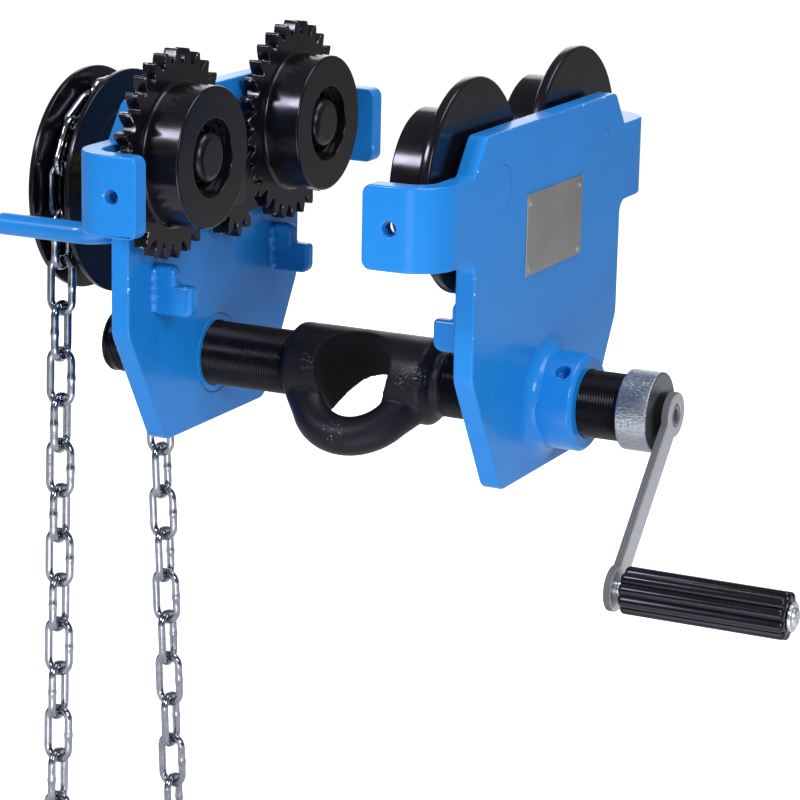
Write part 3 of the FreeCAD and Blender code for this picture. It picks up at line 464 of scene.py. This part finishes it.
# The ball bearings are ground steel, blued, with an outer and an inner ring. They are pressed
# into the wheels and held by sprung circlips.


def recoated(node, finish):
    """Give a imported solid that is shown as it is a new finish."""
    solid = frame["nodes"][node]
    solid.data.materials.clear()
    solid.data.materials.append(finish)


blued_steel = coated(
    "blued_steel", pale=(0.008, 0.008, 0.01), deep=(0.004, 0.004, 0.005), patch=80.0, glossy=0.14,
    dull=0.26, grain=1200.0, depth=4e-6)
for end in ("front", "rear"):
    for kind in ("geared", "plain"):
        for inside in ("bearing_outer_ring", "bearing_balls", "bearing_inner_ring", "circlip"):
            recoated(end + "_" + kind + "_wheel_" + inside, blued_steel)

# The drive shaft runs in a bronze bush through the chain side's plate. Its pinion, milled with
# twelve teeth, sits between the two geared wheels and turns both.
wheel_axis = next(Vector(j["pos_m"]) for j in frame["joints"] if j["name"] == "hand_wheel_spin")
bush_bronze = coated(
    "bush_bronze", pale=(0.5, 0.31, 0.12), deep=(0.4, 0.23, 0.08), patch=70.0, glossy=0.25,
    dull=0.4, grain=900.0, depth=1e-5)
surface(bush_bronze)["Metallic"].default_value = 1.0
bronze_bush = copied("shaft_bush", "drive_shaft_bush", across=(0,), up=(wheel_axis.z,))
eased(bronze_bush, radius=0.0004)
fitted(bronze_bush, bush_bronze, "left_side", "bush_bronze", "drive_shaft_bush")
for node in ("drive_shaft", "wheel_key", "shaft_circlip"):
    recoated(node, blued_steel)
pinion = copied("drive_pinion_teeth", "drive_pinion", across=(0,), up=(wheel_axis.z,))
eased(pinion, radius=0.0003)
fitted(pinion, wheel_black, "hand_wheel", "wheel_black", "drive_pinion")

# The hand chain wheel is a casting with two wide flanges and a recessed web, keyed to the
# drive shaft. It is blacked like the track wheels, but nothing knocks chips off its rims.
hand_wheel = copied("hand_chain_wheel", "chain_wheel", across=(0,), up=(wheel_axis.z,))
eased(hand_wheel, radius=0.0008)
for mark in hand_wheel.data.attributes["rim"].data:
    mark.value = 0.0
fitted(hand_wheel, wheel_black, "hand_wheel", "wheel_black", "chain_wheel")

# The hand chain is endless: 44 links bent from 4.5 mm wire, butt-welded in the middle of one
# side and zinc plated. It goes over the wheel and hangs in two strands joined by a bight.
link_sizes = {"Pitch": 0.0261, "Width": 0.018, "Wire": 0.0045, "Weld": 0.00035}
link_weld_length = 0.0017
bright_zinc = coated(
    "bright_zinc", pale=(0.48, 0.5, 0.56), deep=(0.14, 0.16, 0.21), patch=260.0, glossy=0.07,
    dull=0.16, grain=700.0, depth=4e-5)
surface(bright_zinc)["Metallic"].default_value = 1.0


def link_maker(finish):
    """Geometry nodes that set one welded wire link on every point, turned as the point says."""
    group = bpy.data.node_groups.new("welded links", "GeometryNodeTree")
    sockets = group.interface
    sockets.new_socket("Geometry", in_out="INPUT", socket_type="NodeSocketGeometry")
    for name, size in link_sizes.items():
        socket = sockets.new_socket(name, in_out="INPUT", socket_type="NodeSocketFloat")
        socket.default_value = size
    sockets.new_socket("Geometry", in_out="OUTPUT", socket_type="NodeSocketGeometry")
    join = group.links.new
    given = group.nodes.new("NodeGroupInput")

    def worked(operation, first, second):
        sum_node = group.nodes.new("ShaderNodeMath")
        sum_node.operation = operation
        for socket, value in zip(sum_node.inputs, (first, second)):
            if isinstance(value, float):
                socket.default_value = value
            else:
                join(value, socket)
        return sum_node.outputs[0]

    outline = group.nodes.new("GeometryNodeCurvePrimitiveQuadrilateral")
    join(worked("ADD", given.outputs["Pitch"], given.outputs["Wire"]), outline.inputs["Width"])
    across = worked("SUBTRACT", given.outputs["Width"], given.outputs["Wire"])
    join(across, outline.inputs["Height"])
    bent = group.nodes.new("GeometryNodeFilletCurve")
    bent.mode = "POLY"
    bent.inputs["Count"].default_value = 12
    join(outline.outputs["Curve"], bent.inputs["Curve"])
    join(worked("MULTIPLY", across, 0.4999), bent.inputs["Radius"])
    even = group.nodes.new("GeometryNodeResampleCurve")
    even.inputs["Count"].default_value = 60
    join(bent.outputs["Curve"], even.inputs["Curve"])
    section = group.nodes.new("GeometryNodeCurvePrimitiveCircle")
    section.inputs["Resolution"].default_value = 12
    join(worked("MULTIPLY", given.outputs["Wire"], 0.5), section.inputs["Radius"])
    wire = group.nodes.new("GeometryNodeCurveToMesh")
    join(even.outputs["Curve"], wire.inputs["Curve"])
    join(section.outputs["Curve"], wire.inputs["Profile Curve"])

    where = group.nodes.new("GeometryNodeInputPosition")
    parts = group.nodes.new("ShaderNodeSeparateXYZ")
    join(where.outputs[0], parts.inputs[0])
    along = worked("DIVIDE", parts.outputs["X"], link_weld_length)
    fade = worked("EXPONENT", worked("MULTIPLY", worked("MULTIPLY", along, along), -1.0), 0.0)
    one_side = worked("GREATER_THAN", parts.outputs["Y"], 0.0)
    height = worked("MULTIPLY", worked("MULTIPLY", fade, one_side), given.outputs["Weld"])
    outwards = group.nodes.new("ShaderNodeVectorMath")
    outwards.operation = "SCALE"
    facing = group.nodes.new("GeometryNodeInputNormal")
    join(facing.outputs[0], outwards.inputs[0])
    join(height, outwards.inputs["Scale"])
    swollen = group.nodes.new("GeometryNodeSetPosition")
    join(wire.outputs["Mesh"], swollen.inputs["Geometry"])
    join(outwards.outputs[0], swollen.inputs["Offset"])
    smooth = group.nodes.new("GeometryNodeSetShadeSmooth")
    join(swollen.outputs["Geometry"], smooth.inputs["Geometry"])

    turn = group.nodes.new("GeometryNodeInputNamedAttribute")
    turn.data_type = "QUATERNION"
    turn.inputs["Name"].default_value = "link_turn"
    strung = group.nodes.new("GeometryNodeInstanceOnPoints")
    join(given.outputs["Geometry"], strung.inputs["Points"])
    join(smooth.outputs["Geometry"], strung.inputs["Instance"])
    join(turn.outputs["Attribute"], strung.inputs["Rotation"])
    real = group.nodes.new("GeometryNodeRealizeInstances")
    join(strung.outputs["Instances"], real.inputs["Geometry"])
    plated = group.nodes.new("GeometryNodeSetMaterial")
    plated.inputs["Material"].default_value = finish
    join(real.outputs["Geometry"], plated.inputs["Geometry"])
    result = group.nodes.new("NodeGroupOutput")
    join(plated.outputs["Geometry"], result.inputs["Geometry"])
    return group


link_pitch, links_on_strand, links_in_bight, links_on_wheel, wheel_seats = 0.026, 15, 7, 7, 12
chain_plane, loop_turn = -0.165, radians(5.3)
seat_radius = link_pitch / (2 * sin(pi / wheel_seats))
bight_radius = link_pitch / (2 * sin(pi / (2 * links_in_bight)))
loop_across = Vector((sin(loop_turn), cos(loop_turn), 0))
joints = []
for i in range(links_on_wheel + 1):
    angle = 2 * pi / wheel_seats * (i - 0.5)
    joints.append(Vector((
        chain_plane, seat_radius * cos(angle), wheel_axis.z + seat_radius * sin(angle))))
rear_top, front_top = joints[0], joints[-1]
lean = -bight_radius * cos(loop_turn) - front_top.y
drop = sqrt((links_on_strand * link_pitch) ** 2 - lean ** 2)
front_low = front_top + Vector((0, lean, -drop))
bight_centre = front_low + loop_across * bight_radius
rear_low = bight_centre + loop_across * bight_radius
for i in range(1, links_on_strand + 1):
    joints.append(front_top.lerp(front_low, i / links_on_strand))
for i in range(1, links_in_bight + 1):
    angle = pi * i / links_in_bight
    joints.append(bight_centre - loop_across * bight_radius * cos(angle)
                  - Vector((0, 0, bight_radius * sin(angle))))
for i in range(1, links_on_strand + 1):
    joints.append(rear_low.lerp(rear_top, i / links_on_strand))
links = bpy.data.meshes.new("hand_chain")
links.from_pydata([(a + b) / 2 for a, b in zip(joints[:-1], joints[1:])], [], [])
turns = links.attributes.new("link_turn", "QUATERNION", "POINT")
for i, (start, stop) in enumerate(zip(joints[:-1], joints[1:])):
    along = (stop - start).normalized()
    x_axis = Vector((1, 0, 0))
    wide = (x_axis - along * x_axis.dot(along)).normalized()
    if i % 2:
        wide = along.cross(x_axis).normalized()
    turns.data[i].value = Matrix((along, wide, along.cross(wide))).transposed().to_quaternion()
hand_chain = bpy.data.objects.new("hand_chain", links)
scene.collection.objects.link(hand_chain)
hand_chain.modifiers.new("links", "NODES").node_group = link_maker(bright_zinc)
baked(hand_chain)
fitted(hand_chain, bright_zinc, "left_side", "zinc_chain", "hand_chain_on_wheel",
       "hand_chain_front_strand", "hand_chain_bight", "hand_chain_rear_strand")

# The chain guides are round bar, bent at the free end so that the chain can't jump off the
# wheel, welded to the outside of the ears and painted with them.
for end in ("front", "rear"):
    node = end + "_chain_guide"
    guide = copied(node + "_rod", node)
    eased(guide, radius=0.0007)
    fitted(guide, blue_paint, "left_side", "blue_paint", node)

# The spindle is one forging with the load eye in its middle, blacked all over. Its two arms are
# threaded with a fine pitch, right-handed towards the crank and left-handed away from it.
eye_left_end, eye_right_end = -0.0443, 0.0503
eye_swing, bore_radius, bore_drop = radians(47.2), 0.0219, 0.00975
# How the painted shade in the eye's hole fades in from its lip and beneath its roof, and how deep
# it gets.
bore_lip, lip_fade, roof_from, roof_fade, deepest = 0.0018, 0.002, 0.012, 0.008, 0.85
bore_down = Vector((0, -sin(eye_swing), -cos(eye_swing)))
bore_middle = Vector((0, 0, spindle_z)) + bore_down * bore_drop
# Bright specks on the eye are painted glints, clustered in spots where highlights fall.
painted_glint_spots = (
    ((-0.0245, -0.0225, -0.0775), 0.0075), ((0.0395, -0.0215, -0.0765), 0.008),
    ((0.0325, -0.0229, -0.0785), 0.0075), ((-0.0015, -0.0402, -0.109), 0.0075))


def paint_in_shade(finish, shade_colour):
    """Paint shade into a finish, darkening its colour and dulling its shine as far as each point is
    marked for painted shade, up to 1.
    """
    tree = finish.node_tree
    join = tree.links.new
    colour, roughness = surface(finish)["Base Color"], surface(finish)["Roughness"]
    where = tree.nodes.new("ShaderNodeAttribute")
    where.attribute_name = "painted_shade"
    # Painted shade: the finish's own colour is mixed towards the shade colour here.
    darker = tree.nodes.new("ShaderNodeMix")
    darker.data_type = "RGBA"
    darker.inputs[colour_b].default_value = (*shade_colour, 1.0)
    join(where.outputs["Fac"], darker.inputs[0])
    join(colour.links[0].from_socket, darker.inputs[colour_a])
    join(darker.outputs[colour_out], colour)
    duller = tree.nodes.new("ShaderNodeMix")
    duller.inputs[3].default_value = 1.0
    join(where.outputs["Fac"], duller.inputs[0])
    join(roughness.links[0].from_socket, duller.inputs[2])
    join(duller.outputs[0], roughness)


def painted_shade(piece, share):
    """Mark how much painted shade, dark and dull, each point of a piece gets, from 0 to 1."""
    marks = piece.data.attributes.new("painted_shade", "FLOAT", "POINT")
    for point in piece.data.vertices:
        marks.data[point.index].value = min(1.0, max(0.0, share(point.co)))


def bore_shade(point):
    """How much painted shade a point gets, by how deep it lies beneath the roof of the eye's hole.
    """
    across = point - bore_middle
    down = across.dot(bore_down)
    off_axis = sqrt(across.x ** 2 + down ** 2)
    inside = (bore_radius + bore_lip - off_axis) / lip_fade
    return min(deepest, inside, (roof_from - down) / roof_fade)


forged_black = coated(
    "forged_black", pale=(0.0085, 0.0085, 0.011), deep=(0.004, 0.004, 0.0055), patch=90.0,
    glossy=0.36, dull=0.5, grain=900.0, depth=1.3e-4)
cooled(forged_black, level=0.22)
# On the eye the metal colour shows only as painted glints in these spots.
chips_and_glints(forged_black, bare_and_glint_colour=(0.5, 0.5, 0.54), grain=1000.0, share=0.09, glint_places=painted_glint_spots)
# The eye's hole is painted with shade: darker and duller beneath its roof.
paint_in_shade(forged_black, shade_colour=(0.002, 0.002, 0.0025))
eye = copied("load_eye_forging", "load_spindle")
shortened(eye, eye_left_end, -1)
shortened(eye, eye_right_end, 1)
forging = eye.modifiers.new("one skin", "REMESH")
forging.mode = "VOXEL"
forging.voxel_size = 0.0009
forging.use_smooth_shade = True
worn = eye.modifiers.new("soft corners", "SMOOTH")
worn.factor = 0.5
worn.iterations = 14
baked(eye)
# Mark the painted shade in the eye's hole.
painted_shade(eye, bore_shade)
fitted(eye, forged_black, "spindle", "forged_black", "load_spindle")

thread_pitch, thread_depth, thread_radius, thread_lead_in = 0.0015, 0.0008, 0.018, 0.0012
groove_radius, groove_reach = 0.0165, 0.0013


def threaded_arm(name, start, stop, hand, groove=None):
    """A solid bar along X with a helical thread cut into it and perhaps a stop ring's groove."""
    around, per_turn = 48, 6
    steps = int(round((stop - start) / thread_pitch * per_turn))
    rings = []
    for i in range(steps + 1):
        x = start + (stop - start) * i / steps
        near_end = min(1.0, min(i, steps - i) / per_turn)
        grooved = groove is not None and abs(x - groove) < groove_reach
        ring = []
        for k, angle in enumerate(spread(around)):
            turn = (x / thread_pitch - hand * k / around) % 1.0
            depth = thread_depth * abs(2 * turn - 1) + thread_lead_in * (1 - near_end)
            radius = groove_radius if grooved else thread_radius - depth
            ring.append((x, radius * cos(angle), spindle_z + radius * sin(angle)))
        rings.append(ring)
    return ringed(name, rings, capped=True, sharp=50)


thread_black = coated(
    "thread_black", pale=(0.0045, 0.0045, 0.006), deep=(0.0028, 0.0028, 0.004), patch=150.0,
    glossy=0.16, dull=0.28, grain=900.0, depth=1e-5)
cooled(thread_black, level=0.22)
crank_side_thread = threaded_arm("right_hand_thread", start=0.0495, stop=0.1698, hand=1)
fitted(crank_side_thread, thread_black, "spindle", "forged_black", "load_spindle")
chain_side_thread = threaded_arm(
    "left_hand_thread", start=-0.1594, stop=-0.0435, hand=-1, groove=-0.154)
fitted(chain_side_thread, thread_black, "spindle", "forged_black", "load_spindle")
recoated("spindle_stop_ring", thread_black)

# The crank is a zinc-plated hub pinned to the spindle, a flat bar riveted to its end, and a
# ribbed plastic grip that turns on a stud through the bar.
hub_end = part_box("crank_hub")[1].x
arm_back, arm_front = (corner.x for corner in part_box("crank_arm"))
stud_y, stud_z = -0.07224, -0.15981
arm_edge, rivet_radius, dish_radius, stub_radius = 0.0003, 0.0085, 0.0032, 0.0103
# How much painted shade the arm's narrow edges, the rivet's dish and the hub's face get, and where
# it starts and fades.
edge_painted_shade, dish_painted_shade, face_painted_shade = 0.76, 0.75, 0.8
stub_shade, stub_fade, face_shade, face_fade = 0.028, 0.008, 0.012, 0.01
face_from, stub_from, face_step = 0.00005, 0.0002, 0.003
hub_rim, spindle_rim, rivet_from_x = 0.0185, 0.0175, 0.1699
hub_face_heights = [spindle_z + face_step * i for i in range(-6, 7)]
arm_heights = (stud_z, -0.112, -0.106, -0.1, spindle_z)
zinc_steel = coated(
    "zinc_steel", pale=(0.76, 0.77, 0.84), deep=(0.58, 0.6, 0.67), patch=60.0, glossy=0.3,
    dull=0.42, grain=650.0, depth=1.2e-4)
rough_zinc = coated(
    "rough_zinc", pale=(0.4, 0.42, 0.47), deep=(0.17, 0.19, 0.24), patch=500.0, glossy=0.28,
    dull=0.42, grain=620.0, depth=5e-4)
rough_tree = rough_zinc.node_tree
ripples = rough_tree.nodes.new("ShaderNodeMapping")
ripples.inputs["Scale"].default_value = (0.75, 1.5, 1.5)
rough_tree.links.new(rough_tree.nodes["place"].outputs["Object"], ripples.inputs["Vector"])
for texture in ("grains", "patches"):
    rough_tree.links.new(ripples.outputs["Vector"], rough_tree.nodes[texture].inputs["Vector"])
for finish in (zinc_steel, rough_zinc):
    surface(finish)["Metallic"].default_value = 1.0
    # Both zinc finishes take painted shade, darker and duller, where a point is marked for it.
    paint_in_shade(finish, shade_colour=(0.025, 0.028, 0.026))


def off_spindle(point):
    """How far a point is from the spindle's axis."""
    return sqrt(point.y ** 2 + (point.z - spindle_z) ** 2)


def crank_shade(point):
    """How much painted shade a point of the crank gets.

    The arm's narrow rolled edges and the rivet's dish get painted shade, and so do the stub between
    hub and arm, the arm's back near it and the lower part of the hub's face, where the arm throws
    shade and a dark reflection.
    """
    off_axis = off_spindle(point)
    if arm_back + arm_edge < point.x < arm_front - arm_edge and off_axis > rivet_radius:
        return edge_painted_shade
    if point.x > arm_back + arm_edge:
        return dish_painted_shade if off_axis < dish_radius else 0.0
    if point.x < hub_end - face_from:
        return 0.0
    if point.x > hub_end + stub_from or off_axis < stub_radius:
        return (stub_shade - off_axis) / stub_fade
    return min(face_painted_shade, (face_shade - (point.z - spindle_z)) / face_fade)


hub = copied("crank_hub_plated", "crank_hub", across=(0,), up=hub_face_heights)
eased(hub, radius=0.0003, sharp=lambda middle: off_spindle(middle) < hub_rim)
painted_shade(hub, crank_shade)
fitted(hub, rough_zinc, "spindle", "zinc_steel", "crank_hub")
arm = copied("crank_arm_plated", "crank_arm", across=(stud_y, 0), up=arm_heights)
eased(arm, radius=0.0007)
painted_shade(arm, crank_shade)
fitted(arm, zinc_steel, "spindle", "zinc_steel", "crank_arm")
rivet_end = copied("arm_rivet", "load_spindle", across=(0,), up=hub_face_heights)
shortened(rivet_end, rivet_from_x, -1)
eased(rivet_end, radius=0.0004, sharp=lambda middle: off_spindle(middle) > spindle_rim)
painted_shade(rivet_end, crank_shade)
fitted(rivet_end, rough_zinc, "spindle", "zinc_steel", "load_spindle")
recoated("hub_pin", zinc_steel)

grip_radius, grip_bore, rib_depth, end_radius, ribs = 0.01275, 0.00405, 0.0021, 0.0026, 10
grip_low, grip_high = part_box("crank_grip")
grip_axis = (grip_low + grip_high) / 2
grip_plastic = coated(
    "grip_plastic", pale=(0.0055, 0.0055, 0.007), deep=(0.0028, 0.0028, 0.004), patch=50.0,
    glossy=0.16, dull=0.26, grain=600.0, depth=1.2e-5)
cooled(grip_plastic, level=0.33)


def grip_ring(x, inset=None):
    """A ribbed ring of the grip, drawn in by the inset, or else a ring of its bore."""
    ring = []
    for angle in spread(200):
        rib = abs(sin(ribs * angle / 2)) ** 0.9
        radius = grip_bore if inset is None else grip_radius - rib_depth * (1 - rib) - inset
        ring.append((x, grip_axis.y + radius * cos(angle), grip_axis.z + radius * sin(angle)))
    return ring


quarter = [pi / 2 * i / 8 for i in range(9)]
rounded_end = [(end_radius * (1 - cos(angle)), end_radius * (1 - sin(angle))) for angle in quarter]
grip = ringed(
    "ribbed_grip",
    [grip_ring(grip_low.x)]
    + [grip_ring(grip_low.x + x, inset) for x, inset in rounded_end]
    + [grip_ring(grip_high.x - x, inset) for x, inset in reversed(rounded_end)]
    + [grip_ring(grip_high.x)],
    capped=False, sharp=60)
fitted(grip, grip_plastic, "crank_grip", "grip_plastic", "crank_grip")
for node in ("grip_pin", "grip_washer"):
    piece = copied(node + "_plated", node, across=(stud_y,), up=(stud_z,))
    eased(piece, radius=0.0004)
    fitted(piece, zinc_steel, "spindle", "zinc_steel", node)

# A white studio: a wide sweep of floor under the hanging chain, soft boxes overhead, in front and
# behind, a bright card on the floor, and the camera where the photographer stood.
floor_z, floor_reach = packed_bounds[0].z - 0.004, 8


def seen_white(tree, mirrored):
    """A strength of 1 for what the camera sees, and a share of it for what is mirrored."""
    path = tree.nodes.new("ShaderNodeLightPath")
    seen = tree.nodes.new("ShaderNodeMath")
    seen.operation = "MULTIPLY_ADD"
    seen.inputs[1].default_value = mirrored
    tree.links.new(path.outputs["Is Glossy Ray"], seen.inputs[0])
    tree.links.new(path.outputs["Is Camera Ray"], seen.inputs[2])
    return seen.outputs[0]


floor_mesh = bpy.data.meshes.new("studio_floor")
floor_corners = [(-1, -1), (1, -1), (1, 1), (-1, 1)]
floor_mesh.from_pydata(
    [(floor_reach * x, floor_reach * y, floor_z) for x, y in floor_corners], [], [(0, 1, 2, 3)])
studio_floor = bpy.data.objects.new("studio_floor", floor_mesh)
scene.collection.objects.link(studio_floor)
studio_white = bpy.data.materials.new("studio_white")
studio_white.use_nodes = True
surface(studio_white)["Base Color"].default_value = (0.8, 0.8, 0.8, 1.0)
surface(studio_white)["Roughness"].default_value = 0.9
surface(studio_white)["Emission Color"].default_value = (1.0, 1.0, 1.0, 1.0)
studio_tree = studio_white.node_tree
lift = studio_tree.nodes.new("ShaderNodeMath")
lift.operation = "MULTIPLY"
lift.inputs[1].default_value = 0.9
studio_tree.links.new(seen_white(studio_tree, mirrored=0.06), lift.inputs[0])
studio_tree.links.new(lift.outputs[0], surface(studio_white)["Emission Strength"])
floor_mesh.materials.append(studio_white)

studio = bpy.data.worlds.new("studio")
studio.use_nodes = True
scene.world = studio
sky = studio.node_tree.nodes["Background"]
sky.inputs["Color"].default_value = (1.0, 1.0, 1.0, 1.0)
level = studio.node_tree.nodes.new("ShaderNodeMapRange")
level.inputs["To Min"].default_value = 0.16
level.inputs["To Max"].default_value = 1.0
studio.node_tree.links.new(seen_white(studio.node_tree, mirrored=0.07), level.inputs["Value"])
studio.node_tree.links.new(level.outputs["Result"], sky.inputs["Strength"])


def soft_light(name, place, target, size, power):
    """A square soft box aimed at a point."""
    lamp = bpy.data.lights.new(name, "AREA")
    lamp.size = size
    lamp.energy = power
    box = bpy.data.objects.new(name, lamp)
    box.location = place
    aim = Vector(target) - Vector(place)
    box.rotation_euler = aim.to_track_quat("-Z", "Y").to_euler()
    scene.collection.objects.link(box)


trolley, crank_level = (0, 0, -0.05), (0, 0, -0.1)
soft_light("overhead_box", place=(0.5, 0.1, 1.5), target=(0, 0, 0), size=1.0, power=18.0)
soft_light("front_right_box", place=(1.5, -1.2, 0.8), target=trolley, size=0.6, power=22.0)
soft_light("front_left_box", place=(-0.9, -1.5, 1.25), target=trolley, size=0.45, power=25.0)
soft_light("low_front_box", place=(0.3, -1.9, -0.2), target=crank_level, size=0.6, power=2.5)
soft_light(
    "floor_card", place=(0.3, -0.8, floor_z + 0.01), target=(0.3, -0.79, 1.0), size=0.8, power=5.5)
soft_light("back_box", place=(-0.9, 1.8, 0.55), target=trolley, size=1.4, power=11.0)

camera = bpy.data.cameras.new("photographer")
camera.lens = 141.41
camera.sensor_width = 36.0
stand = bpy.data.objects.new("photographer", camera)
standpoint = Vector((0.7348, -1.4944, 0.3258))
azimuth, elevation, roll = radians(25.58), radians(14.34), radians(1.23)
back = Vector((sin(azimuth) * cos(elevation), -cos(azimuth) * cos(elevation), sin(elevation)))
level_right = Vector((cos(azimuth), sin(azimuth), 0))
level_up = back.cross(level_right)
right = level_right * cos(roll) + level_up * sin(roll)
up = level_up * cos(roll) - level_right * sin(roll)
turn = Matrix((right, up, back)).transposed()
stand.matrix_world = Matrix.Translation(standpoint) @ turn.to_4x4()
scene.collection.objects.link(stand)
scene.camera = stand
scene.view_settings.view_transform = "Standard"
